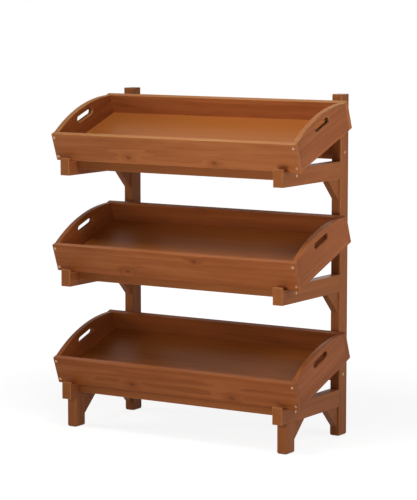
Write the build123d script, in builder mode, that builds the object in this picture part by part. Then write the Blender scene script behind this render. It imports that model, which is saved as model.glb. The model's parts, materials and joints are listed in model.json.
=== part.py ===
from build123d import *
from math import cos, radians, sin, tan
import os

os.makedirs("parts", exist_ok=True)

# Three-tier fruit display stand: a timber frame that carries three lift-out trays.
# Frame: +X to the right, +Y to the back, +Z up. The origin is on the floor,
# under the middle of the stand's width and depth. Millimetres and degrees.

# Driving dimensions of the stand
timber_width = 38
post_depth = 56
post_head = 19
arm_height = 61.5
middle_tier_rise = 407
top_tier_rise = 396
lip_thickness = 10
notch_depth = 12
toe_room = 41
side_gap = 23.5
leg_height = 105.5
leg_depth = 58
leg_setback = 32
foot_bevel = 6
top_bevel = 2
corner_round = 5
tip_round = 3

# Bracing of the stand
gusset_reach = 78
gusset_drop = 70
gusset_tip = 7
gusset_thickness = 25
leg_clear_height = 41
slat_width = 70
slat_thickness = 30
slat_setback = 60
slat_lift = 18.5
rail_height = 50
rail_thickness = 20
rail_setback = 19
bottom_rail_rise = 26
top_rail_rise = 5
rest_height = 35
rest_depth = 24

# Driving dimensions of a tray, measured along its own tilted floor
tray_width = 1000
tray_depth = 380
tray_tilt = 20
board_thickness = 20
board_height = 102
board_round = 2
arch_rise = 26.5
grip_length = 95
grip_height = 20
grip_cover = 24
panel_thickness = 12
panel_lift = 21
groove_depth = 6

# Screws and clearances
screw_shank = 4
screw_head = 8.4
head_angle = 90
head_rim = 0.3
screw_flat_count = 8
screw_bite = 30
board_screw_inset = 15
arm_screw_spread = 30
notch_clearance = 5
seat_clearance = 0.3
panel_clearance = 0.2
screw_clearance = 0.2

# Places that follow from the sizes above
tilt = radians(tray_tilt)
edge_relief = board_round * (sin(tilt) + cos(tilt) - 1)
stand_width = tray_width - 2 * (board_thickness + side_gap)
stand_depth = toe_room + tray_depth * cos(tilt) + seat_clearance - edge_relief + post_depth
sides = {"left": -1, "right": 1}
arm_tops = {
    "bottom": leg_height + arm_height,
    "middle": leg_height + arm_height + middle_tier_rise,
    "top": leg_height + arm_height + middle_tier_rise + top_tier_rise,
}
rail_rises = {"bottom": bottom_rail_rise, "top": top_rail_rise}
tip_y = -stand_depth / 2
post_back = stand_depth / 2
post_front = post_back - post_depth
timber_x = (stand_width - timber_width) / 2
clear_span = stand_width - 2 * timber_width
leg_front = tip_y + leg_setback
leg_back = leg_front + leg_depth
slat_y = tip_y + slat_setback + slat_width / 2
rail_y = post_front + rail_setback + rail_thickness / 2
tray_front = tip_y + toe_room
notch_start = tip_y + lip_thickness
notch_end = tray_front + board_thickness * cos(tilt) + notch_clearance
end_x = tray_width / 2 - board_thickness
inner_length = tray_depth - 2 * board_thickness


def tray_corner(arm_top):
    # Height of the lower front edge, whose rounding lies just off the notch floor
    return arm_top - notch_depth + seat_clearance - edge_relief


def tray_under(arm_top, y):
    # Height of the lower edges of the tray's boards at a depth
    return tray_corner(arm_top) + (y - tray_front) * tan(tilt)


def rest_top(arm_top, y):
    # Height of a rest block's sloping top at a depth
    return tray_under(arm_top, y) - seat_clearance / cos(tilt)


post_height = tray_under(arm_tops["top"], post_front) + board_height * cos(tilt) + post_head


def save(piece, name):
    piece.part.label = name
    export_step(piece.part, f"parts/{name}.step")


def tray_plane(arm_top):
    # Lower edges of the tray's boards: local X across, local Y up the slope
    return Plane((0, tray_front, tray_corner(arm_top)), (1, 0, 0), (0, -sin(tilt), cos(tilt)))


def end_plane(arm_top, x):
    # Upright plane across the tray: local X up the slope, local Y square to the floor
    return Plane((x, tray_front, tray_corner(arm_top)), (0, cos(tilt), sin(tilt)), (1, 0, 0))


def side_plane(x):
    # Upright plane across the stand: local X to the back, local Y up
    return Plane((x, 0, 0), (0, 1, 0), (1, 0, 0))


def upright(x, y, depth, height):
    # Timber with rounded corners that stands on a bevelled foot, in the piece being built
    with BuildSketch() as square:
        with Locations((x, y)):
            Rectangle(timber_width, depth)
    extrude(square.sketch, amount=height)
    chamfer(faces().sort_by(Axis.Z)[0].edges(), foot_bevel)
    with BuildSketch() as rounded:
        with Locations((x, y)):
            RectangleRounded(timber_width, depth, corner_round)
    extrude(rounded.sketch, amount=height, mode=Mode.INTERSECT)


def screw_shape(thickness, clearance):
    # Countersunk screw that hangs from the origin, through a thickness and into the next piece
    head_step = (screw_head - screw_shank) / 2
    head_depth = head_step / tan(radians(head_angle / 2))
    with BuildPart() as screw:
        with BuildSketch() as head:
            RegularPolygon(screw_head / 2 + clearance, screw_flat_count, major_radius=False)
        extrude(head.sketch, amount=-head_rim - head_depth)
        chamfer(screw.faces().sort_by(Axis.Z)[0].edges(), head_depth, head_step)
        with BuildSketch() as shank:
            RegularPolygon(screw_shank / 2 + clearance, screw_flat_count, major_radius=False)
        extrude(shank.sketch, amount=-thickness - screw_bite - clearance)
    return screw.part


def screws(planes, thickness):
    # Group of screws, flush in each plane
    shape = screw_shape(thickness, 0)
    with BuildPart() as group:
        with Locations(*planes):
            add(shape)
    return group


def screw_holes(planes, thickness):
    # Holes for the screws above, cut into the piece being built
    shape = screw_shape(thickness, screw_clearance)
    with Locations(*planes):
        add(shape, mode=Mode.SUBTRACT)


def arm_screw_planes(side, arm_top):
    # Two screws through the back of a post into the end of an arm
    middle = arm_top - arm_height / 2
    heights = (middle - arm_screw_spread / 2, middle + arm_screw_spread / 2)
    return [Plane((side * timber_x, post_back, z), (-1, 0, 0), (0, 1, 0)) for z in heights]


def slat_screw_plane(side, arm_top):
    # One screw through the outer face of an arm into the end of its slat
    height = arm_top - arm_height + slat_lift + slat_thickness / 2
    return Plane((side * stand_width / 2, slat_y, height), (0, 1, 0), (side, 0, 0))


def rail_screw_plane(side, tier):
    # One screw through the outer face of a post into the end of a rear rail
    height = arm_tops[tier] + rail_rises[tier] + rail_height / 2
    return Plane((side * stand_width / 2, rail_y, height), (0, 1, 0), (side, 0, 0))


def rest_screw_plane(side, arm_top):
    # One screw through the front of a rest block into its post
    block_front = post_front - rest_depth
    height = (rest_top(arm_top, post_front) - rest_height + rest_top(arm_top, block_front)) / 2
    return Plane((side * timber_x, block_front, height), (1, 0, 0), (0, -1, 0))


def board_screw_planes(arm_top, face):
    # Four screws through the front or back board into the end boards
    slope = end_plane(arm_top, 0).x_dir
    along, outward = (0, -slope) if face == "front" else (tray_depth, slope)
    levels = (board_screw_inset, board_height - board_screw_inset)
    spots = [(s * (end_x + board_thickness / 2), along, z) for s in sides.values() for z in levels]
    return [Plane(tray_plane(arm_top).from_local_coords(spot), (1, 0, 0), outward) for spot in spots]


# Rear posts
for side_name, side in sides.items():
    with BuildPart() as post:
        upright(side * timber_x, post_front + post_depth / 2, post_depth, post_height)
        chamfer(post.faces().sort_by(Axis.Z)[-1].edges(), top_bevel)
        for arm_top in arm_tops.values():
            screw_holes(arm_screw_planes(side, arm_top), post_depth)
            screw_holes([rest_screw_plane(side, arm_top)], rest_depth)
        screw_holes([rail_screw_plane(side, tier) for tier in rail_rises], timber_width)
    save(post, f"post_{side_name}")

# Arms with a lip and a notch at the tip
for tier, arm_top in arm_tops.items():
    for side_name, side in sides.items():
        notch_floor = arm_top - notch_depth
        with BuildPart() as arm:
            with BuildSketch(side_plane(side * timber_x)):
                with BuildLine():
                    Polyline(
                        (tip_y, arm_top - arm_height),
                        (post_front, arm_top - arm_height),
                        (post_front, arm_top),
                        (notch_end, arm_top),
                        (notch_end, notch_floor),
                        (notch_start, notch_floor),
                        (notch_start, arm_top),
                        (tip_y, arm_top),
                        close=True,
                    )
                make_face()
            extrude(amount=timber_width / 2, both=True)
            fillet(arm.faces().sort_by(Axis.Y)[0].edges(), tip_round)
            screw_holes(arm_screw_planes(side, arm_top), post_depth)
            screw_holes([slat_screw_plane(side, arm_top)], timber_width)
        save(arm, f"arm_{tier}_{side_name}")

# Gussets under the arms, against the posts
for tier, arm_top in arm_tops.items():
    for side_name, side in sides.items():
        under = arm_top - arm_height
        with BuildPart() as gusset:
            with BuildSketch(side_plane(side * timber_x)):
                with BuildLine():
                    Polyline(
                        (post_front, under),
                        (post_front - gusset_reach, under),
                        (post_front - gusset_tip, under - gusset_drop),
                        (post_front, under - gusset_drop),
                        close=True,
                    )
                make_face()
            extrude(amount=gusset_thickness / 2, both=True)
        save(gusset, f"gusset_{tier}_{side_name}")

# Front legs under the lowest arms, with their gussets
for side_name, side in sides.items():
    with BuildPart() as leg:
        upright(side * timber_x, leg_front + leg_depth / 2, leg_depth, leg_height)
    save(leg, f"leg_{side_name}")

    with BuildPart() as leg_gusset:
        with BuildSketch(side_plane(side * timber_x)):
            with BuildLine():
                Polyline(
                    (leg_back, leg_height),
                    (leg_back + gusset_reach, leg_height),
                    (leg_back + gusset_tip, leg_clear_height),
                    (leg_back, leg_clear_height),
                    close=True,
                )
            make_face()
        extrude(amount=gusset_thickness / 2, both=True)
    save(leg_gusset, f"leg_gusset_{side_name}")

# Flat slats that tie the two arms of a tier
for tier, arm_top in arm_tops.items():
    with BuildPart() as slat:
        with BuildSketch(Plane.XY.offset(arm_top - arm_height + slat_lift)):
            with Locations((0, slat_y)):
                Rectangle(clear_span, slat_width)
        extrude(amount=slat_thickness)
        screw_holes([slat_screw_plane(side, arm_top) for side in sides.values()], timber_width)
    save(slat, f"slat_{tier}")

# Rear rails between the posts
for tier, rise in rail_rises.items():
    with BuildPart() as rail:
        with BuildSketch(Plane.XY.offset(arm_tops[tier] + rise)):
            with Locations((0, rail_y)):
                Rectangle(clear_span, rail_thickness)
        extrude(amount=rail_height)
        screw_holes([rail_screw_plane(side, tier) for side in sides.values()], timber_width)
    save(rail, f"rear_rail_{tier}")

# Rest blocks on the posts, with tops cut to the tray's slope
for tier, arm_top in arm_tops.items():
    for side_name, side in sides.items():
        block_front = post_front - rest_depth
        block_foot = rest_top(arm_top, post_front) - rest_height
        with BuildPart() as rest:
            with BuildSketch(side_plane(side * timber_x)):
                with BuildLine():
                    Polyline(
                        (post_front, block_foot),
                        (block_front, block_foot),
                        (block_front, rest_top(arm_top, block_front)),
                        (post_front, rest_top(arm_top, post_front)),
                        close=True,
                    )
                make_face()
            extrude(amount=timber_width / 2, both=True)
            screw_holes([rest_screw_plane(side, arm_top)], rest_depth)
        save(rest, f"rest_{tier}_{side_name}")

# Trays: grooved boards round a captive floor panel
board_faces = ("front", "back")
front_end = board_thickness
back_end = tray_depth - board_thickness
grip_level = board_height + arch_rise - grip_cover - grip_height / 2
groove_height = panel_thickness + panel_clearance
groove_level = panel_lift + groove_height / 2
groove_span = 2 * (end_x + groove_depth)
for tier, arm_top in arm_tops.items():
    floor = tray_plane(arm_top)

    for face in board_faces:
        inner, outer = (front_end, 0) if face == "front" else (back_end, tray_depth)
        with BuildPart() as board:
            with BuildSketch(floor):
                with Locations((0, (inner + outer) / 2)):
                    Rectangle(tray_width, board_thickness)
            extrude(amount=board_height)
            fillet(board.edges().filter_by(Axis.X), board_round)
            with BuildSketch(floor.offset(panel_lift)):
                with Locations((0, inner)):
                    Rectangle(groove_span, 2 * groove_depth)
            extrude(amount=groove_height, mode=Mode.SUBTRACT)
            screw_holes(board_screw_planes(arm_top, face), board_thickness)
        save(board, f"tray_{tier}_{face}_board")

    for side_name, side in sides.items():
        with BuildPart() as end:
            with BuildSketch(end_plane(arm_top, side * (end_x + board_thickness / 2))):
                with BuildLine():
                    ThreePointArc(
                        (front_end, board_height),
                        (tray_depth / 2, board_height + arch_rise),
                        (back_end, board_height),
                    )
                    Polyline(
                        (back_end, board_height),
                        (back_end, 0),
                        (front_end, 0),
                        (front_end, board_height),
                    )
                make_face()
                with Locations((tray_depth / 2, grip_level)):
                    SlotOverall(grip_length, grip_height, mode=Mode.SUBTRACT)
            extrude(amount=board_thickness / 2, both=True)
            with BuildSketch(end_plane(arm_top, side * end_x)):
                with Locations((tray_depth / 2, groove_level)):
                    Rectangle(inner_length, groove_height)
            extrude(amount=groove_depth, both=True, mode=Mode.SUBTRACT)
            for face in board_faces:
                screw_holes(board_screw_planes(arm_top, face), board_thickness)
        save(end, f"tray_{tier}_end_{side_name}")

    with BuildPart() as panel:
        with BuildSketch(floor.offset(panel_lift)):
            with Locations((0, tray_depth / 2)):
                Rectangle(
                    groove_span - 2 * panel_clearance,
                    inner_length + 2 * (groove_depth - panel_clearance),
                )
        extrude(amount=panel_thickness)
    save(panel, f"tray_{tier}_panel")

    screw_planes = [plane for face in board_faces for plane in board_screw_planes(arm_top, face)]
    tray_screws = screws(screw_planes, board_thickness)
    save(tray_screws, f"tray_{tier}_screws")

# Screws of the stand, one group for each use
tops = arm_tops.values()
arm_planes = [plane for s in sides.values() for top in tops for plane in arm_screw_planes(s, top)]
arm_screws = screws(arm_planes, post_depth)
save(arm_screws, "arm_screws")
slat_screws = screws([slat_screw_plane(s, top) for s in sides.values() for top in tops], timber_width)
save(slat_screws, "slat_screws")
rail_screws = screws([rail_screw_plane(s, tier) for s in sides.values() for tier in rail_rises], timber_width)
save(rail_screws, "rail_screws")
rest_screws = screws([rest_screw_plane(s, top) for s in sides.values() for top in tops], rest_depth)
save(rest_screws, "rest_screws")
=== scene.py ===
import json
import math
import random

import bmesh
import bpy
from mathutils import Matrix, Vector


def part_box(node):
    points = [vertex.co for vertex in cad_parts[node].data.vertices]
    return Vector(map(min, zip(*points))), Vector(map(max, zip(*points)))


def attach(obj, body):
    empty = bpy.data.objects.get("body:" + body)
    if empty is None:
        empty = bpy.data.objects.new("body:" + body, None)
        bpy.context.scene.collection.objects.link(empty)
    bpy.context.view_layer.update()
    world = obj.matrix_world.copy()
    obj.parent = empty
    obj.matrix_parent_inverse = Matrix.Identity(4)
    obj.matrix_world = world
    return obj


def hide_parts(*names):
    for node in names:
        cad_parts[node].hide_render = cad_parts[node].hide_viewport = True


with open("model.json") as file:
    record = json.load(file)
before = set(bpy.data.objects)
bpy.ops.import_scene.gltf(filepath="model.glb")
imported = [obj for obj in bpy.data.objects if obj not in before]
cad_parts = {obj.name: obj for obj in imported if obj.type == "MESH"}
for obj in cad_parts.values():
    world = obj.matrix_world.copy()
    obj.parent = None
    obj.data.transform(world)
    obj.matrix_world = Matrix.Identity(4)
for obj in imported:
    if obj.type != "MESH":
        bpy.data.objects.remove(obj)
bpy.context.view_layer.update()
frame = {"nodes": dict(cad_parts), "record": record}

# Three-tier fruit display stand: stained pine frame, three lift-out trays, zinc-plated screws.
# Sizes in the pieces' dictionaries are millimetres, those of the studio are metres.
# Meshes are in metres, in the CAD's own frame.
mm = 0.001
tiny = 1e-6  # metres, between points that are meant to be level or the same
sharpAngle = math.radians(50)  # corners from here on get rounded
smoothAngle = math.radians(40)  # corners up to here are shaded as one surface
flatAngle = math.radians(1)  # faces up to here are one flat face
alongX, alongY, alongZ = (1, 0, 0), (0, 1, 0), (0, 0, 1)
tiers = ("bottom", "middle", "top")
sides = {"left": -1, "right": 1}
scene = bpy.context.scene
scene.view_settings.view_transform = "Standard"

behaviour = frame["record"]["behaviour"]
bodyOf = {node: body for body, nodes in behaviour["bodies"].items() for node in nodes}
slotOf = {row["node"]: row["material_slot"] for row in frame["record"]["subparts"]}

# The trays lift square to their floors, so the lift's direction gives their slope
lift = Vector(behaviour["joints"][0]["axis"])
slope = math.atan2(-lift.y, lift.z)
upright = Matrix.Identity(4)
sloped = Matrix.Rotation(slope, 4, "X")


def nodeExtent(node, turn):  # low and high corners of a CAD node in upright or sloped axes
    toLocal = turn.inverted()
    points = [toLocal @ v.co for v in frame["nodes"][node].data.vertices]
    low = Vector([min(p[i] for p in points) for i in range(3)])
    high = Vector([max(p[i] for p in points) for i in range(3)])
    return low, high


def linear(hexCode):  # sRGB hex to linear colour
    parts = [int(hexCode[i:i + 2], 16) / 255 for i in (1, 3, 5)]
    return tuple(c / 12.92 if c <= 0.04045 else ((c + 0.055) / 1.055) ** 2.4 for c in parts) + (1,)


def emptyTree(owner):  # cleared node tree of a material or a world
    owner.use_nodes = True
    owner.node_tree.nodes.clear()
    return owner.node_tree


def addNode(tree, kind, settings=None, inputs=None):  # a socket as an input's value becomes a link
    node = tree.nodes.new(kind)
    for key, value in (settings or {}).items():
        setattr(node, key, value)
    for key, value in (inputs or {}).items():
        if isinstance(value, bpy.types.NodeSocket):
            tree.links.new(value, node.inputs[key])
        else:
            node.inputs[key].default_value = value
    return node


# Planed pine under a red-brown stain and satin lacquer: soft growth rings and streaks along the grain,
# darker knots and end grain, edges rubbed paler, painted highlight on upper faces, painted shade in the
# hand-holds, painted light and shade in the trays' tones, a broad soft shine
frameLook = {
    "name": "stainedPineFrame", "pale": "#A66236", "middle": "#91542C", "deep": "#6F3C1C",
    "knotColour": "#532810", "endColour": "#90562A", "rubbedAndHighlit": "#B98657",
    # Patterns: sizes along the grain, across it and into the wood
    "wander": (700, 60, 60), "streak": (420, 14, 14), "blotch": (170, 55, 55),
    "fibre": (90, 2.2, 2.2),  # real fibres are about 0.3 mm, drawn coarser so that they show
    "detail": {"wander": 2, "streak": 3, "blotch": 2, "fibre": 3}, "noiseRoughness": 0.55,
    "ringSpacing": 8, "ringWobble": 0.6, "ringDetail": 2, "ringDetailScale": 0.4, "wanderShift": 10,
    "knotForm": (0.6, 1, 0), "knotCore": (2, 10), "knotHalo": (4, 34), "knotSwell": 6, "knotShare": 0.5,
    "strip": 5000, "stripShift": (3000, 60, 30),
    # Depth of the stain, 0 pale to 1 deep: where it starts, and what each pattern adds; the piece tones and
    # the hand-hold share also carry painted light and shade
    "depth": 0.42, "middleDepth": 0.45, "toneSpread": 0.10, "stripSpread": 0, "ringShare": 0.22,
    "streakShare": 0.60, "blotchShare": 0.40, "fibreShare": 0.30, "haloShare": 0.14, "gripShadeShare": 0.55,
    # What lies over the stain
    "endShare": 0.15, "paleNoiseSpan": (0.3, 0.65), "paleNoiseShare": (0.3, 0.8), "lacquerSpan": (0.3, 0.7),
    "roughness": (0.34, 0.44), "dulling": 0.45, "shine": 0.08,
    "bump": 0.15, "bumpDepth": 0.6, "ringBump": 0.3,
}
boardLook = {
    **frameLook, "name": "stainedPineBoard", "pale": "#B46C3D", "middle": "#975329", "deep": "#773E1D",
    "ringSpacing": 10, "toneSpread": 0.08, "shine": 0.1,
}
panelLook = {
    **boardLook, "name": "stainedPinePanel", "pale": "#AB642D", "middle": "#995623", "deep": "#7A4119",
    "strip": 88, "toneSpread": 0.06, "stripSpread": 0.12, "streakShare": 0.42, "blotchShare": 0.30,
    "shine": 0.12,
}
noiseMean = 0.5
waveSpacing = 0.314  # metres between the rings of a wave texture at scale 1
pineIor = 1.5


def stainedPine(look):
    material = bpy.data.materials.new(look["name"])
    tree = emptyTree(material)
    named = {}
    for name in ("grain", "knotA", "knotB", "tone", "endGrain", "wearAndHighlight", "gripShade"):
        named[name] = addNode(tree, "ShaderNodeAttribute", {"attribute_name": name})

    # Glued strips of a wide panel: each has its own cut of the log
    split = addNode(tree, "ShaderNodeSeparateXYZ", inputs={0: named["grain"].outputs["Vector"]})
    across = addNode(tree, "ShaderNodeMath", {"operation": "DIVIDE"},
                     {0: split.outputs[1], 1: look["strip"] * mm})
    count = addNode(tree, "ShaderNodeMath", {"operation": "FLOOR"}, {0: across.outputs[0]})
    stripSeed = addNode(tree, "ShaderNodeTexWhiteNoise", {"noise_dimensions": "1D"}, {"W": count.outputs[0]})
    shift = addNode(tree, "ShaderNodeVectorMath", {"operation": "MULTIPLY"},
                    {0: stripSeed.outputs["Color"], 1: [s * mm for s in look["stripShift"]]})
    grain = addNode(tree, "ShaderNodeVectorMath", {"operation": "ADD"},
                    {0: named["grain"].outputs["Vector"], 1: shift.outputs[0]}).outputs[0]

    noises = {}
    for name, detail in look["detail"].items():
        size = [1 / (s * mm) for s in look[name]]
        sized = addNode(tree, "ShaderNodeMapping", inputs={"Vector": grain, "Scale": size})
        noises[name] = addNode(tree, "ShaderNodeTexNoise", inputs={
            "Vector": sized.outputs[0], "Scale": 1, "Detail": detail, "Roughness": look["noiseRoughness"]})

    # Knots: distance to the nearer of a piece's two knots, longer along the grain
    reach = []
    for name in ("knotA", "knotB"):
        flat = addNode(tree, "ShaderNodeVectorMath", {"operation": "MULTIPLY"},
                       {0: named[name].outputs["Vector"], 1: look["knotForm"]})
        reach.append(addNode(tree, "ShaderNodeVectorMath", {"operation": "LENGTH"}, {0: flat.outputs[0]}))
    near = addNode(tree, "ShaderNodeMath", {"operation": "MINIMUM"},
                   {0: reach[0].outputs["Value"], 1: reach[1].outputs["Value"]})
    core = addNode(tree, "ShaderNodeMapRange", {"interpolation_type": "SMOOTHSTEP"}, {
        "Value": near.outputs[0], "From Min": look["knotCore"][0] * mm, "From Max": look["knotCore"][1] * mm,
        "To Min": look["knotShare"], "To Max": 0})
    halo = addNode(tree, "ShaderNodeMapRange", {"interpolation_type": "SMOOTHSTEP"}, {
        "Value": near.outputs[0], "From Min": look["knotHalo"][0] * mm, "From Max": look["knotHalo"][1] * mm,
        "To Min": 1, "To Max": 0})

    # Growth rings round the log's heart, bent by slow wander and by the knots
    centred = addNode(tree, "ShaderNodeVectorMath", {"operation": "SUBTRACT"},
                      {0: noises["wander"].outputs["Color"], 1: [noiseMean] * 3})
    sway = 2 * look["wanderShift"] * mm
    bend = addNode(tree, "ShaderNodeVectorMath", {"operation": "MULTIPLY"},
                   {0: centred.outputs[0], 1: (0, sway, sway)})
    bent = addNode(tree, "ShaderNodeVectorMath", {"operation": "ADD"}, {0: grain, 1: bend.outputs[0]})
    swell = addNode(tree, "ShaderNodeMath", {"operation": "MULTIPLY"},
                    {0: halo.outputs[0], 1: look["knotSwell"] * mm})
    swollen = addNode(tree, "ShaderNodeCombineXYZ", inputs={"Z": swell.outputs[0]})
    ringPlace = addNode(tree, "ShaderNodeVectorMath", {"operation": "ADD"},
                        {0: bent.outputs[0], 1: swollen.outputs[0]})
    rings = addNode(tree, "ShaderNodeTexWave",
                    {"wave_type": "RINGS", "rings_direction": "X", "wave_profile": "SAW"},
                    {"Vector": ringPlace.outputs[0], "Scale": waveSpacing / (look["ringSpacing"] * mm),
                     "Distortion": look["ringWobble"], "Detail": look["ringDetail"],
                     "Detail Scale": look["ringDetailScale"]})

    # Depth of the stain: 0 pale, 1 deep
    depth = look["depth"]
    shares = (
        (rings.outputs["Fac"], look["ringShare"], noiseMean),
        (noises["streak"].outputs["Fac"], look["streakShare"], noiseMean),
        (noises["blotch"].outputs["Fac"], look["blotchShare"], noiseMean),
        (noises["fibre"].outputs["Fac"], look["fibreShare"], noiseMean),
        (named["tone"].outputs["Fac"], look["toneSpread"], 0),
        (stripSeed.outputs["Value"], look["stripSpread"], noiseMean),
        (halo.outputs[0], look["haloShare"], 0),
        (named["gripShade"].outputs["Fac"], look["gripShadeShare"], 0),
    )
    for source, share, mean in shares:
        centred = addNode(tree, "ShaderNodeMath", {"operation": "SUBTRACT"}, {0: source, 1: mean})
        depth = addNode(tree, "ShaderNodeMath", {"operation": "MULTIPLY_ADD"},
                        {0: centred.outputs[0], 1: share, 2: depth}).outputs[0]
    ramp = addNode(tree, "ShaderNodeValToRGB", inputs={"Fac": depth})
    stops = ramp.color_ramp.elements
    stops[0].color = linear(look["pale"])
    stops[1].color = linear(look["deep"])
    stops.new(look["middleDepth"]).color = linear(look["middle"])

    # Knots, end grain, and rubbed edges with painted highlight on upper faces, over the stain
    paleNoise = addNode(tree, "ShaderNodeMapRange", inputs={
        "Value": noises["blotch"].outputs["Fac"], "From Min": look["paleNoiseSpan"][0],
        "From Max": look["paleNoiseSpan"][1], "To Min": look["paleNoiseShare"][0], "To Max": look["paleNoiseShare"][1]})
    rubbedAndHighlit = addNode(tree, "ShaderNodeMath", {"operation": "MULTIPLY"},
                     {0: named["wearAndHighlight"].outputs["Fac"], 1: paleNoise.outputs[0]})
    ends = addNode(tree, "ShaderNodeMath", {"operation": "MULTIPLY"},
                   {0: named["endGrain"].outputs["Fac"], 1: look["endShare"]})
    colour = ramp.outputs["Color"]
    covers = {"knotColour": core.outputs[0], "endColour": ends.outputs[0], "rubbedAndHighlit": rubbedAndHighlit.outputs[0]}
    for name, share in covers.items():
        colour = addNode(tree, "ShaderNodeMix", {"data_type": "RGBA"},
                         {0: share, 6: colour, 7: linear(look[name])}).outputs[2]

    # The lacquer is dull on the rubbed and highlit mark and on the hand-holds' painted-shade walls
    dull = addNode(tree, "ShaderNodeMath", {"operation": "MAXIMUM"},
                   {0: rubbedAndHighlit.outputs[0], 1: named["gripShade"].outputs["Fac"]})
    lacquer = addNode(tree, "ShaderNodeMapRange", inputs={
        "Value": noises["streak"].outputs["Fac"], "From Min": look["lacquerSpan"][0],
        "From Max": look["lacquerSpan"][1], "To Min": look["roughness"][0], "To Max": look["roughness"][1]})
    rough = addNode(tree, "ShaderNodeMath", {"operation": "MULTIPLY_ADD"},
                    {0: dull.outputs[0], 1: look["dulling"], 2: lacquer.outputs[0]})
    relief = addNode(tree, "ShaderNodeMath", {"operation": "MULTIPLY_ADD"},
                     {0: rings.outputs["Fac"], 1: look["ringBump"], 2: noises["fibre"].outputs["Fac"]})
    bump = addNode(tree, "ShaderNodeBump", inputs={
        "Height": relief.outputs[0], "Strength": look["bump"], "Distance": look["bumpDepth"] * mm})
    shader = addNode(tree, "ShaderNodeBsdfPrincipled", inputs={
        "Base Color": colour, "Roughness": rough.outputs[0], "Normal": bump.outputs[0], "IOR": pineIor,
        "Specular IOR Level": look["shine"]})
    addNode(tree, "ShaderNodeOutputMaterial", inputs={"Surface": shader.outputs[0]})
    return material


# Zinc plating on pressed steel, gone warm and slightly cloudy
zincLook = {
    "name": "zincPlatedSteel", "bright": "#D9B08A", "dull": "#AA8462", "roughness": (0.22, 0.42),
    "cloud": 1.6, "cloudDetail": 3, "cloudRoughness": 0.6, "cloudSpan": (0.3, 0.7),
    "bump": 0.1, "bumpDepth": 0.1,
}


def zincPlate(look):
    material = bpy.data.materials.new(look["name"])
    tree = emptyTree(material)
    spot = addNode(tree, "ShaderNodeTexCoord")
    cloud = addNode(tree, "ShaderNodeTexNoise", inputs={
        "Vector": spot.outputs["Object"], "Scale": 1 / (look["cloud"] * mm), "Detail": look["cloudDetail"],
        "Roughness": look["cloudRoughness"]})
    colour = addNode(tree, "ShaderNodeMix", {"data_type": "RGBA"}, {
        0: cloud.outputs["Fac"], 6: linear(look["bright"]), 7: linear(look["dull"])})
    rough = addNode(tree, "ShaderNodeMapRange", inputs={
        "Value": cloud.outputs["Fac"], "From Min": look["cloudSpan"][0], "From Max": look["cloudSpan"][1],
        "To Min": look["roughness"][0], "To Max": look["roughness"][1]})
    bump = addNode(tree, "ShaderNodeBump", inputs={
        "Height": cloud.outputs["Fac"], "Strength": look["bump"], "Distance": look["bumpDepth"] * mm})
    shader = addNode(tree, "ShaderNodeBsdfPrincipled", inputs={
        "Base Color": colour.outputs[2], "Metallic": 1, "Roughness": rough.outputs[0],
        "Normal": bump.outputs[0]})
    addNode(tree, "ShaderNodeOutputMaterial", inputs={"Surface": shader.outputs[0]})
    return material


materials = {
    "frame_timber": stainedPine(frameLook), "tray_board": stainedPine(boardLook),
    "tray_panel": stainedPine(panelLook), "screw": zincPlate(zincLook),
}
print("materials:", ", ".join(m.name for m in materials.values()))


# Screws: their shape, their holes and where they are
screwShape = {
    "headRadius": 4.8, "rim": 0.3, "headDepth": 2.8, "sunk": 0.12, "shankRadius": 2.0, "point": 5,
    "steps": 20, "crossLength": 5.2, "crossWidth": 1.2, "crossDepth": 2, "crossTaper": (0.45, 0.6, 1),
    "hole": 0.2, "holeTop": 1.0, "holeReach": 0.5, "holeChecks": 12,
    "armSpread": 30, "boardInset": 15, "endInset": 10,
    "lengths": {"arm": 86, "slat": 68, "rail": 68, "rest": 54, "tray": 50},
}


def headPlace(point, outward):  # frame of a screw's head, Z out of the wood
    turn = outward.to_track_quat("Z", "Y").to_matrix().to_4x4()
    return Matrix.Translation(point) @ turn


screwPlaces = {"arm_screws": [], "slat_screws": [], "rail_screws": [], "rest_screws": []}
for side, s in sides.items():
    postLow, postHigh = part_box(f"post_{side}")
    middleX = (postLow[0] + postHigh[0]) / 2
    outerX = postHigh[0] if s > 0 else postLow[0]
    sideways = Vector((s, 0, 0))
    for tier in tiers:
        armLow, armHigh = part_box(f"arm_{tier}_{side}")
        for spread in (-0.5, 0.5):
            z = (armLow[2] + armHigh[2]) / 2 + spread * screwShape["armSpread"] * mm
            spot = Vector((middleX, postHigh[1], z))
            screwPlaces["arm_screws"].append(headPlace(spot, Vector((0, 1, 0))))
        low, high = nodeExtent(f"slat_{tier}", upright)
        spot = (low + high) / 2
        screwPlaces["slat_screws"].append(headPlace(Vector((outerX, spot.y, spot.z)), sideways))
        low, high = nodeExtent(f"rest_{tier}_{side}", upright)
        frontTop = high.z - (high.y - low.y) * math.tan(slope)
        spot = Vector((middleX, low.y, (low.z + frontTop) / 2))
        screwPlaces["rest_screws"].append(headPlace(spot, Vector((0, -1, 0))))
    for tier in ("bottom", "top"):
        low, high = nodeExtent(f"rear_rail_{tier}", upright)
        spot = (low + high) / 2
        screwPlaces["rail_screws"].append(headPlace(Vector((outerX, spot.y, spot.z)), sideways))
for tier in tiers:
    places = screwPlaces[f"tray_{tier}_screws"] = []
    for board, outward in (("front", -1), ("back", 1)):
        low, high = nodeExtent(f"tray_{tier}_{board}_board", sloped)
        y = low.y if outward < 0 else high.y
        inset, endInset = screwShape["boardInset"] * mm, screwShape["endInset"] * mm
        for x in (low.x + endInset, high.x - endInset):
            for z in (low.z + inset, high.z - inset):
                places.append(sloped @ headPlace(Vector((x, y, z)), Vector((0, outward, 0))))


def screwLength(node):
    kind = "tray" if node.startswith("tray") else node.split("_")[0]
    return screwShape["lengths"][kind]


def meshFrom(bm, name):
    mesh = bpy.data.meshes.new(name)
    bm.to_mesh(mesh)
    bm.free()
    return mesh


def bmeshFrom(mesh):
    bm = bmesh.new()
    bm.from_mesh(mesh)
    bpy.data.meshes.remove(mesh)
    return bm


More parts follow.
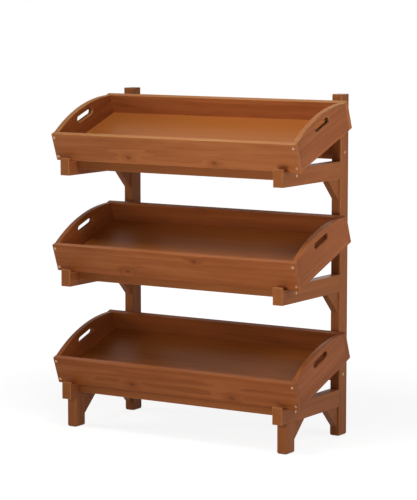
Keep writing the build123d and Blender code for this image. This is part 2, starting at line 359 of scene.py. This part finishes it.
def cut(mesh, cutter):  # Boolean difference, worked out at once
    holder = bpy.data.objects.new("cutHolder", mesh)
    tool = bpy.data.objects.new("cutTool", cutter)
    for item in (holder, tool):
        scene.collection.objects.link(item)
    step = holder.modifiers.new("cut", "BOOLEAN")
    step.operation = "DIFFERENCE"
    step.solver = "EXACT"
    step.object = tool
    graph = bpy.context.evaluated_depsgraph_get()
    graph.update()
    made = bpy.data.meshes.new_from_object(holder.evaluated_get(graph))
    for item in (holder, tool):
        bpy.data.objects.remove(item)
    for used in (mesh, cutter):
        bpy.data.meshes.remove(used)
    return made


def spunScrew(length, grow, sunk):  # half profile spun round Z, head up at the origin; a hole isn't sunk
    k = screwShape
    top, point = (-sunk, k["point"]) if sunk else (k["holeTop"], 0)
    head, shank = k["headRadius"] + grow, k["shankRadius"] + grow
    profile = [(0, top), (head, top), (head, -sunk - k["rim"]), (shank, -k["headDepth"]),
               (shank, point - length), (0, -length - grow)]
    bm = bmesh.new()
    verts = [bm.verts.new((r * mm, 0, z * mm)) for r, z in profile]
    edges = [bm.edges.new(pair) for pair in zip(verts, verts[1:])]
    bmesh.ops.spin(bm, geom=verts + edges, cent=(0, 0, 0), axis=alongZ, angle=2 * math.pi,
                   steps=k["steps"], use_merge=True)
    bmesh.ops.remove_doubles(bm, verts=bm.verts, dist=tiny)
    bmesh.ops.recalc_face_normals(bm, faces=bm.faces)
    return bm


def screwMaster(length):
    k = screwShape
    mesh = meshFrom(spunScrew(length, 0, k["sunk"]), "screwBlank")
    barSize = Vector((k["crossLength"], k["crossWidth"], 2 * k["crossDepth"])) * mm
    for turn in (0, math.pi / 2):  # cross recess, one bar at a time, narrower as it goes down
        bar = bmesh.new()
        bmesh.ops.create_cube(bar, size=1)
        bmesh.ops.scale(bar, vec=barSize, verts=bar.verts)
        lower = [v for v in bar.verts if v.co.z < 0]
        bmesh.ops.scale(bar, vec=k["crossTaper"], verts=lower)
        bmesh.ops.rotate(bar, matrix=Matrix.Rotation(turn, 3, "Z"), verts=bar.verts)
        mesh = cut(mesh, meshFrom(bar, "screwCross"))
    bm = bmeshFrom(mesh)
    # Flat faces whole again, taken in a fixed order so that every run comes out alike
    verts = sorted(bm.verts, key=lambda v: tuple(v.co))
    edges = sorted(bm.edges, key=lambda e: sorted(tuple(v.co) for v in e.verts))
    bmesh.ops.dissolve_limit(bm, angle_limit=flatAngle, verts=verts, edges=edges)
    return meshFrom(bm, "screwMaster")


def screwSet(node):
    master = screwMaster(screwLength(node))
    turns = random.Random(node)
    bm = bmesh.new()
    for place in screwPlaces[node]:
        before = len(bm.verts)
        bm.from_mesh(master)
        bm.verts.ensure_lookup_table()
        turned = place @ Matrix.Rotation(turns.uniform(0, math.pi), 4, "Z")
        bmesh.ops.transform(bm, matrix=turned, verts=bm.verts[before:])
    bpy.data.meshes.remove(master)
    return meshFrom(bm, f"{node}_steel")


def holeCutter(node, turn):  # holes of the screws that pass through a node
    k = screwShape
    low, high = nodeExtent(node, turn)
    toLocal = turn.inverted()
    reach = k["holeReach"] * mm
    cutter = bmesh.new()
    for screwNode, places in screwPlaces.items():
        length = screwLength(screwNode)
        steps = [-length * mm * i / k["holeChecks"] for i in range(k["holeChecks"] + 1)]
        for place in places:
            axis = [toLocal @ place @ Vector((0, 0, step)) for step in steps]
            if any(all(low[j] - reach <= p[j] <= high[j] + reach for j in range(3)) for p in axis):
                hole = spunScrew(length, k["hole"], 0)
                bmesh.ops.transform(hole, matrix=place, verts=hole.verts)
                holeMesh = meshFrom(hole, "hole")
                cutter.from_mesh(holeMesh)
                bpy.data.meshes.remove(holeMesh)
    return meshFrom(cutter, "holes") if cutter.faces else None


# Wood: sawn, rounded, cut for grooves and screws, then given the grain of its own log
logShape = {
    "along": (0, 40000), "aside": (-30, 30), "fromHeart": (35, 110),  # where in the log a piece was sawn
    "knotAlong": 500, "knotAside": (20, 250),
    "endNormal": 0.75, "topNormal": 0.6,  # least part of a face's normal along the grain, or up
}


def woodStart():
    bm = bmesh.new()
    bm.faces.layers.float.new("wearAndHighlight")  # up to about 1 on edges where the stain rubs off, and on upper faces as painted highlight
    bm.faces.layers.float.new("gripShade")  # 1 on the hand-holds' walls: painted shade, the wood darker inside the slot's recess
    return bm


def bevelEdges(bm, edges, width, steps, paleShare, clamp=True):
    wearAndHighlight = bm.faces.layers.float["wearAndHighlight"]
    made = bmesh.ops.bevel(bm, geom=list(edges), offset=width * mm, offset_type="OFFSET", affect="EDGES",
                           segments=steps, profile=0.5, material=-1, clamp_overlap=clamp)
    for face in made["faces"]:
        face[wearAndHighlight] = paleShare


def paleTops(bm, paleShare):  # upper faces of a board painted paler: partly rubbed by hands and crates, partly painted highlight from the light above
    bm.normal_update()
    wearAndHighlight = bm.faces.layers.float["wearAndHighlight"]
    for face in bm.faces:
        if face.normal.z > logShape["topNormal"]:
            face[wearAndHighlight] = paleShare


def sharpEdges(bm):
    return [e for e in bm.edges if e.is_manifold and e.is_convex and e.calc_face_angle() > sharpAngle]


def pullFaces(bm, faces, way):  # extrude faces and move them; gives the vertices moved
    made = bmesh.ops.extrude_face_region(bm, geom=faces)
    moved = [v for v in made["geom"] if isinstance(v, bmesh.types.BMVert)]
    bmesh.ops.translate(bm, vec=way, verts=moved)
    return moved


def block(low, high):
    bm = woodStart()
    bmesh.ops.create_cube(bm, size=1)
    bmesh.ops.scale(bm, vec=high - low, verts=bm.verts)
    bmesh.ops.translate(bm, vec=(low + high) / 2, verts=bm.verts)
    return bm


def profileBoard(points, x0, x1):  # outline across the stand, extruded over its thickness
    bm = woodStart()
    face = bm.faces.new([bm.verts.new((x0, y, z)) for y, z in points])
    pullFaces(bm, [face], (x1 - x0, 0, 0))
    bmesh.ops.recalc_face_normals(bm, faces=bm.faces)
    return bm


def finishWood(bm, node, turn, groove):
    bmesh.ops.transform(bm, matrix=turn, verts=bm.verts)
    mesh = meshFrom(bm, f"{node}_wood")
    for cutter in (groove, holeCutter(node, turn)):
        if cutter:
            mesh = cut(mesh, cutter)
    return mesh


def dressWood(mesh, node, turn, along, across, knots, tone):
    # along and across are the grain's directions in the piece's own axes
    k = logShape
    seed = random.Random(node)
    long = (turn.to_3x3() @ Vector(along)).normalized()
    wide = (turn.to_3x3() @ Vector(across)).normalized()
    thick = long.cross(wide)
    low, high = nodeExtent(node, turn)
    centre = turn @ ((low + high) / 2)
    log = Vector([seed.uniform(*k[name]) * mm for name in ("along", "aside", "fromHeart")])
    spots = [Vector((x * mm, y * mm, 0)) for x, y in knots]
    while len(spots) < 2:
        x = seed.uniform(-k["knotAlong"], k["knotAlong"])
        y = seed.choice((-1, 1)) * seed.uniform(*k["knotAside"])
        spots.append(Vector((x * mm, y * mm, 0)))
    grain, knotA, knotB = [], [], []
    for v in mesh.vertices:
        off = v.co - centre
        own = Vector((off.dot(long), off.dot(wide), off.dot(thick)))
        grain.extend(own + log)
        knotA.extend(own - spots[0])
        knotB.extend(own - spots[1])
    for name, values in (("grain", grain), ("knotA", knotA), ("knotB", knotB)):
        mesh.attributes.new(name, "FLOAT_VECTOR", "POINT").data.foreach_set("vector", values)
    ends = [1.0 if abs(p.normal.dot(long)) > k["endNormal"] else 0.0 for p in mesh.polygons]
    mesh.attributes.new("endGrain", "FLOAT", "FACE").data.foreach_set("value", ends)
    tones = [seed.uniform(-1, 1) + tone] * len(mesh.polygons)
    mesh.attributes.new("tone", "FLOAT", "FACE").data.foreach_set("value", tones)


def putPiece(mesh, node):  # object for a finished mesh, in the CAD node's stead
    mesh.name = f"{node}_dressed"
    mesh.materials.clear()
    mesh.materials.append(materials[slotOf[node]])
    mesh.polygons.foreach_set("use_smooth", [True] * len(mesh.polygons))
    mesh.set_sharp_from_angle(angle=smoothAngle)
    piece = bpy.data.objects.new(f"{node}_dressed", mesh)
    scene.collection.objects.link(piece)
    normals = piece.modifiers.new("faceNormals", "WEIGHTED_NORMAL")
    normals.keep_sharp = True
    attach(piece, bodyOf[node])
    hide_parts(node)


def woodPiece(bm, node, turn, along, across, knots=(), groove=None, tone=0):
    mesh = finishWood(bm, node, turn, groove)
    dressWood(mesh, node, turn, along, across, knots, tone)
    putPiece(mesh, node)


# Posts and legs: rounded corners, a rounded foot, a softened top
uprightShape = {"corner": 5, "foot": 6, "top": 2, "steps": 3, "paleShare": 0.25, "tones": {"post": 0, "leg": -0.8}}
for kind in ("post", "leg"):
    for side in sides:
        node = f"{kind}_{side}"
        low, high = nodeExtent(node, upright)
        size = high - low
        foot = uprightShape["foot"] * mm
        bm = block(low + Vector((0, 0, foot)), high)
        bevelEdges(bm, [e for e in bm.edges if abs(e.verts[0].co.z - e.verts[1].co.z) > foot],
                   uprightShape["corner"], uprightShape["steps"], uprightShape["paleShare"])
        bm.normal_update()
        middle = Matrix.Translation((low + high) / -2)
        for i in range(uprightShape["steps"]):  # the foot's rounding, a quarter circle in steps
            turns = [math.pi / 2 * j / uprightShape["steps"] for j in (i, i + 1)]
            drop = foot * (math.sin(turns[1]) - math.sin(turns[0]))
            before, after = [2 * foot * (1 - math.cos(turn)) for turn in turns]
            sole = min(bm.faces, key=lambda f: f.calc_center_median().z)
            lower = pullFaces(bm, [sole], (0, 0, -drop))
            bmesh.ops.delete(bm, geom=[sole], context="FACES_ONLY")
            shrink = ((size.x - after) / (size.x - before), (size.y - after) / (size.y - before), 1)
            bmesh.ops.scale(bm, vec=shrink, space=middle, verts=lower)
            bm.normal_update()
        if kind == "post":
            crown = max(bm.faces, key=lambda f: f.calc_center_median().z)
            bevelEdges(bm, crown.edges, uprightShape["top"], uprightShape["steps"], uprightShape["paleShare"])
        woodPiece(bm, node, upright, alongZ, alongY, tone=uprightShape["tones"][kind])
print("posts and legs done")

# Arms: a lip and a notch at the tip that hold a tray's lower front edge
armShape = {
    "lip": 10, "notch": 12, "notchRun": 54.794, "tip": 3, "edge": 1.2, "steps": 3, "paleShare": 0.6, "tone": -1.2,
}
for tier in tiers:
    for side in sides:
        node = f"arm_{tier}_{side}"
        low, high = nodeExtent(node, upright)
        start = low.y + armShape["lip"] * mm
        end = start + armShape["notchRun"] * mm
        bed = high.z - armShape["notch"] * mm
        outline = [(low.y, low.z), (high.y, low.z), (high.y, high.z), (end, high.z), (end, bed),
                   (start, bed), (start, high.z), (low.y, high.z)]
        bm = profileBoard(outline, low.x, high.x)
        tip = min(bm.faces, key=lambda f: f.calc_center_median().y)
        bevelEdges(bm, tip.edges, armShape["tip"], armShape["steps"], armShape["paleShare"])
        bevelEdges(bm, sharpEdges(bm), armShape["edge"], armShape["steps"], armShape["paleShare"])
        woodPiece(bm, node, upright, alongY, alongZ, tone=armShape["tone"])
print("arms done")

# Gussets in the corners under the arms and behind the legs, rest blocks on the posts
braceShape = {"tip": 7, "edge": 1.2, "steps": 3, "paleShare": 0.35, "grain": (0.71, 0.70)}


def brace(node, outline, along, across):
    low, high = nodeExtent(node, upright)
    bm = profileBoard(outline, low.x, high.x)
    bevelEdges(bm, sharpEdges(bm), braceShape["edge"], braceShape["steps"], braceShape["paleShare"])
    woodPiece(bm, node, upright, along, across)


grainY, grainZ = braceShape["grain"]
tip = braceShape["tip"] * mm
for side in sides:
    for tier in tiers:
        node = f"gusset_{tier}_{side}"
        low, high = nodeExtent(node, upright)
        outline = [(high.y, high.z), (low.y, high.z), (high.y - tip, low.z), (high.y, low.z)]
        brace(node, outline, (0, grainY, grainZ), (0, grainZ, -grainY))

        node = f"rest_{tier}_{side}"
        low, high = nodeExtent(node, upright)
        drop = (high.y - low.y) * -lift.y / lift.z
        outline = [(high.y, low.z), (low.y, low.z), (low.y, high.z - drop), (high.y, high.z)]
        brace(node, outline, alongX, alongZ)
    node = f"leg_gusset_{side}"
    low, high = nodeExtent(node, upright)
    outline = [(low.y, high.z), (high.y, high.z), (low.y + tip, low.z), (low.y, low.z)]
    brace(node, outline, (0, -grainY, grainZ), (0, grainZ, grainY))
print("gussets and rest blocks done")

# Slats between the arms and rails between the posts
plankShape = {"edge": 1.5, "steps": 3, "paleShare": 0.4, "tone": -1.2}
for node in [f"slat_{tier}" for tier in tiers] + ["rear_rail_bottom", "rear_rail_top"]:
    across = alongY if node.startswith("slat") else alongZ
    bm = block(*nodeExtent(node, upright))
    bevelEdges(bm, bm.edges, plankShape["edge"], plankShape["steps"], plankShape["paleShare"])
    woodPiece(bm, node, upright, alongX, across, tone=plankShape["tone"])
print("slats and rails done")

# Trays: grooved boards round a floor panel, arched ends with a hand-hold
rimWearAndLight = {"bottom": 0.05, "middle": 0.25, "top": 1.1}  # paler rims: edge wear plus painted highlight, strongest on the lit top tray, faint on the shaded lower trays
cornerWear = 0.2  # share of it on the trays' other edges
boardShape = {
    "edge": 2, "steps": 4, "grooveRoom": 0.1,
    "frontKnots": {
        "bottom": ((-172, -24), (238, -33)), "middle": ((-191, -31), (96, 28)),
        "top": ((-185, -27), (166, -31)),
    },
    # tones, lower is paler: painted light and shade, with the top tray's boards paler and the lower back
    # boards darker
    "tones": {
        "front": {"bottom": 0, "middle": -0.2, "top": -4}, "back": {"bottom": 3, "middle": 1, "top": -4.2},
    },
}
# panel tones are painted light and shade: the upper floors paler, the shaded bottom floor darker
panelShape = {"edge": 1.5, "steps": 3, "tones": {"bottom": 4, "middle": -6, "top": -7.5}}
endShape = {
    "boardHeight": 102, "archCuts": 39, "archEdge": 3, "edge": 1.2, "steps": 4,
    # the left ends are darker by painted shade
    "tones": {"left": 3.5, "right": 0},
}
gripShape = {
    "length": 95, "height": 20, "cover": 24, "edge": 5, "endSteps": 12, "steps": 5, "merge": 0.5,
    "past": 10,  # how far the cutter stands out of the board
    "near": 0.1, "level": 0.01,  # slack in finding the slot's points, and level ones
}


def grooveCutter(tier):
    low, high = nodeExtent(f"tray_{tier}_panel", sloped)
    room = Vector((1, 1, 1)) * boardShape["grooveRoom"] * mm
    bm = block(low - room, high + room)
    bmesh.ops.transform(bm, matrix=sloped, verts=bm.verts)
    return meshFrom(bm, "groove")


def gripCutter(low, high):  # a bar through the board, with a half round spun at each end
    k = gripShape
    past = k["past"] * mm
    radius, straight = k["height"] / 2 * mm, (k["length"] - k["height"]) / 2 * mm
    middle = Vector((low.x - past, (low.y + high.y) / 2, high.z - k["cover"] * mm - radius))
    bm = bmesh.new()
    for sign in (1, -1):
        centre = middle + Vector((0, sign * straight, 0))
        start = bm.verts.new(centre - Vector((0, 0, sign * radius)))
        bmesh.ops.spin(bm, geom=[start], cent=centre, axis=alongX, angle=math.pi, steps=k["endSteps"])
    for z in (-1, 1):  # the straight runs below and above
        bm.edges.new([v for v in bm.verts if (v.co.z - middle.z) * z > radius - k["level"] * mm])
    bmesh.ops.edgeloop_fill(bm, edges=bm.edges[:])
    pullFaces(bm, bm.faces[:], (high.x - low.x + 2 * past, 0, 0))
    bmesh.ops.recalc_face_normals(bm, faces=bm.faces)
    return meshFrom(bm, "grip"), middle


def archedEnd(low, high, paleShare):
    k = endShape
    shoulder = low.z + k["boardHeight"] * mm
    bm = woodStart()
    corners = [bm.verts.new((low.x, y, z)) for y, z in (
        (low.y, low.z), (high.y, low.z), (high.y, shoulder), (low.y, shoulder))]
    bm.faces.new(corners)
    crest = bm.edges.get(corners[2:])
    bmesh.ops.subdivide_edges(bm, edges=[crest], cuts=k["archCuts"])
    half, rise = (high.y - low.y) / 2, high.z - shoulder
    radius = (half ** 2 + rise ** 2) / (2 * rise)
    for v in bm.verts:
        if v.co.z > shoulder - tiny:
            off = v.co.y - (low.y + high.y) / 2
            v.co.z = high.z - radius + math.sqrt(radius ** 2 - off ** 2)
    pullFaces(bm, bm.faces[:], (high.x - low.x, 0, 0))
    bmesh.ops.recalc_face_normals(bm, faces=bm.faces)
    crests = [e for e in bm.edges if e.verts[0].co.x == e.verts[1].co.x
              and min(v.co.z for v in e.verts) > shoulder - tiny]
    bevelEdges(bm, crests, k["archEdge"], k["steps"], paleShare)
    bevelEdges(bm, sharpEdges(bm), k["edge"], k["steps"], paleShare * cornerWear)
    paleTops(bm, paleShare)
    return bm


def cutHandHold(bm, low, high, paleShare):
    k = gripShape
    cutter, middle = gripCutter(low, high)
    bm = bmeshFrom(cut(meshFrom(bm, "endBlank"), cutter))
    reachY, reachZ = [(k[name] / 2 + k["near"]) * mm for name in ("length", "height")]
    inside = [v for v in bm.verts if abs(v.co.y - middle.y) < reachY and abs(v.co.z - middle.z) < reachZ]
    inside.sort(key=lambda v: tuple(v.co))  # a fixed order here too
    bmesh.ops.remove_doubles(bm, verts=inside, dist=k["merge"] * mm)  # the cut leaves short edges
    inside = {v for v in inside if v.is_valid}
    rims = [e for e in bm.edges if e.is_manifold and e.calc_face_angle() > sharpAngle
            and inside.issuperset(e.verts) and abs(e.verts[0].co.x - e.verts[1].co.x) < k["level"] * mm]
    bevelEdges(bm, rims, k["edge"], k["steps"], paleShare / 2, clamp=False)
    bm.normal_update()
    gripShade = bm.faces.layers.float["gripShade"]
    for face in bm.faces:  # painted shade on the slot's walls, darker from the rounded edge inwards
        off = face.calc_center_median() - middle
        if abs(off.y) < reachY + k["edge"] * mm and abs(off.z) < reachZ + k["edge"] * mm:
            face[gripShade] = 1 - abs(face.normal.x)
    return bm


for tier in tiers:
    for board in ("front", "back"):
        node = f"tray_{tier}_{board}_board"
        knots = boardShape["frontKnots"][tier] if board == "front" else ()
        tone = boardShape["tones"][board][tier]
        bm = block(*nodeExtent(node, sloped))
        bevelEdges(bm, bm.edges, boardShape["edge"], boardShape["steps"], rimWearAndLight[tier] * cornerWear)
        paleTops(bm, rimWearAndLight[tier])
        woodPiece(bm, node, sloped, alongX, alongZ, knots, grooveCutter(tier), tone)
    for side in sides:
        node = f"tray_{tier}_end_{side}"
        low, high = nodeExtent(node, sloped)
        bm = archedEnd(low, high, rimWearAndLight[tier])
        bm = cutHandHold(bm, low, high, rimWearAndLight[tier])
        woodPiece(bm, node, sloped, alongY, alongZ, (), grooveCutter(tier), endShape["tones"][side])
    node = f"tray_{tier}_panel"
    bm = block(*nodeExtent(node, sloped))
    bevelEdges(bm, bm.edges, panelShape["edge"], panelShape["steps"], 0)
    woodPiece(bm, node, sloped, alongX, alongY, tone=panelShape["tones"][tier])
print("trays done")

for node in screwPlaces:
    putPiece(screwSet(node), node)
print("screws done:", sum(len(p) for p in screwPlaces.values()))


def seenDirectly(tree):  # 1 for rays from the camera, from gloss and through glass
    path = addNode(tree, "ShaderNodeLightPath")
    seen = path.outputs["Is Camera Ray"]
    for ray in ("Is Glossy Ray", "Is Transmission Ray"):
        seen = addNode(tree, "ShaderNodeMath", {"operation": "MAXIMUM"},
                       {0: seen, 1: path.outputs[ray]}).outputs[0]
    return seen


# A pale floor that the camera sees as white, apart from the object's shadow
floorLook = {
    "size": 40, "segments": 4, "drop": 0.0004, "colour": "#E4E2DE", "roughness": 0.9,
    "glow": "#FFFFFF", "shownPaint": "#898989", "near": 0.9, "far": 3.2, "nearWhite": 0.86,
}
bm = bmesh.new()
bmesh.ops.create_grid(bm, x_segments=floorLook["segments"], y_segments=floorLook["segments"],
                      size=floorLook["size"] / 2)
bmesh.ops.translate(bm, vec=(0, 0, -floorLook["drop"]), verts=bm.verts)
floor = bpy.data.objects.new("studioFloor", meshFrom(bm, "studioFloor"))
scene.collection.objects.link(floor)
paint = bpy.data.materials.new("paleStudioPaint")
tree = emptyTree(paint)
seen = seenDirectly(tree)
tint = addNode(tree, "ShaderNodeMix", {"data_type": "RGBA"},
               {0: seen, 6: linear(floorLook["colour"]), 7: linear(floorLook["shownPaint"])})
spot = addNode(tree, "ShaderNodeTexCoord")
away = addNode(tree, "ShaderNodeVectorMath", {"operation": "LENGTH"}, {0: spot.outputs["Object"]})
white = addNode(tree, "ShaderNodeMapRange", inputs={
    "Value": away.outputs["Value"], "From Min": floorLook["near"], "From Max": floorLook["far"],
    "To Min": floorLook["nearWhite"], "To Max": 1})
shown = addNode(tree, "ShaderNodeMath", {"operation": "MULTIPLY"}, {0: seen, 1: white.outputs[0]})
shader = addNode(tree, "ShaderNodeBsdfPrincipled", inputs={
    "Base Color": tint.outputs[2], "Roughness": floorLook["roughness"], "Specular IOR Level": 0,
    "Emission Color": linear(floorLook["glow"]), "Emission Strength": shown.outputs[0]})
addNode(tree, "ShaderNodeOutputMaterial", inputs={"Surface": shader.outputs[0]})
floor.data.materials.append(paint)

worldLook = {"colour": "#FFFFFF", "level": 0.04, "shown": 1.0}
world = bpy.data.worlds.new("whiteStudio")
scene.world = world
tree = emptyTree(world)
strength = addNode(tree, "ShaderNodeMapRange", inputs={
    "Value": seenDirectly(tree), "To Min": worldLook["level"], "To Max": worldLook["shown"]})
sky = addNode(tree, "ShaderNodeBackground",
              inputs={"Color": linear(worldLook["colour"]), "Strength": strength.outputs[0]})
addNode(tree, "ShaderNodeOutputWorld", inputs={"Surface": sky.outputs[0]})

# Soft boxes: share is the brightness of a white card that faces the lamp at the aim point
lamps = {
    "overhead": {"azimuth": 278, "elevation": 59, "distance": 1.39, "size": 0.4, "share": 0.8,
                 "aim": (0.1, 0, 1)},
    "rightKey": {"azimuth": 4, "elevation": 26, "distance": 1.07, "size": 0.4, "share": 0.28,
                 "aim": (0.2, 0, 0.6)},
    "rightFill": {"azimuth": 0, "elevation": -13, "distance": 1.33, "size": 0.4, "share": 0.15,
                  "aim": (0.2, 0, 0.6)},
    "frontFill": {"azimuth": 287, "elevation": -12, "distance": 1.49, "size": 0.5, "share": 0.34,
                  "aim": (0.05, 0, 0.9)},
    "leftFill": {"azimuth": 200, "elevation": 10, "distance": 3.4, "size": 1.4, "share": 0.35,
                 "aim": (0, 0, 0.6)},
    "backFill": {"azimuth": 100, "elevation": 30, "distance": 4.0, "size": 1.6, "share": 0.16,
                 "aim": (0, 0, 0.6)},
}
for name, lamp in lamps.items():
    data = bpy.data.lights.new(name, "AREA")
    data.shape = "SQUARE"
    data.size = lamp["size"]
    data.energy = lamp["share"] * (math.pi * lamp["distance"]) ** 2
    azimuth, elevation = math.radians(lamp["azimuth"]), math.radians(lamp["elevation"])
    away = Vector((math.cos(azimuth) * math.cos(elevation), math.sin(azimuth) * math.cos(elevation),
                   math.sin(elevation)))
    lampObject = bpy.data.objects.new(name, data)
    lampObject.location = Vector(lamp["aim"]) + away * lamp["distance"]
    lampObject.rotation_euler = away.to_track_quat("Z", "Y").to_euler()
    scene.collection.objects.link(lampObject)

cameraLook = {
    "place": (4.14985, -6.50144, 1.59011), "aim": (0.02557, -0.00678, 0.65103), "lens": 158.5,
    "sensor": 36,  # across the image's longer side, its height
    "clipEnd": 100,
}
camera = bpy.data.objects.new("camera", bpy.data.cameras.new("camera"))
camera.location = cameraLook["place"]
view = Vector(cameraLook["aim"]) - Vector(cameraLook["place"])
camera.rotation_euler = view.to_track_quat("-Z", "Y").to_euler()
camera.data.lens = cameraLook["lens"]
camera.data.sensor_width = cameraLook["sensor"]
camera.data.clip_end = cameraLook["clipEnd"]
scene.collection.objects.link(camera)
scene.camera = camera
print("floor, lights and camera done")
